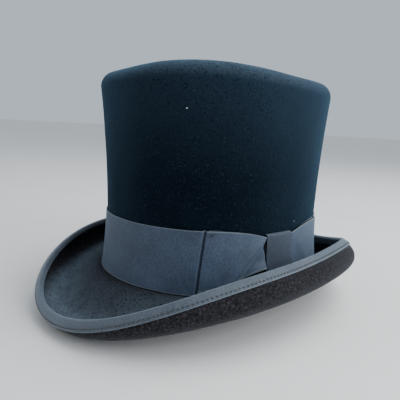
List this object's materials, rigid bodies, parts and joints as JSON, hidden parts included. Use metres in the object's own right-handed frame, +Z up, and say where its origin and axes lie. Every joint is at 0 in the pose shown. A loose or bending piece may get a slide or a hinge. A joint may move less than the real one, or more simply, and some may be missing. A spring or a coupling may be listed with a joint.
{
  "type": "top hat",
  "caption": "Black wool felt top hat: flared oval crown, brim curled up at the sides and bound with ribbon, wide ribbed hatband with a flat side bow, leather sweatband and satin lining.",
  "frame": {"origin": "bottom centre of the bounding box: on the surface that the front and back dips of the brim stand on, at the middle of the brim's length and width", "axes": "+Z up the crown, out of its flat tip; -Y towards the front of the hat; +X towards the wearer's left, the side that carries the bow; the brim is longest along Y"},
  "size_m": [0.2598, 0.3255, 0.2111],
  "materials": {
    "wool_felt": "matte",
    "grosgrain_band": "satin",
    "grosgrain_bow": "satin",
    "grosgrain_binding": "satin",
    "sweatband_leather": "satin",
    "reed": "satin",
    "narrow_ribbon": "satin",
    "lining_satin": "gloss",
    "clear_film": "gloss"
  },
  "bodies": {
    "root": {"felt_body": "wool_felt", "brim_binding": "grosgrain_binding", "hatband": "grosgrain_band", "bow_front_loop": "grosgrain_bow", "bow_rear_loop": "grosgrain_bow", "bow_knot": "grosgrain_bow", "sweatband": "sweatband_leather", "sweatband_reed": "reed", "sweatband_bow": "narrow_ribbon", "lining_side": "lining_satin", "lining_tip": "lining_satin", "tip_patch": "clear_film"}
  },
  "joints": []
}
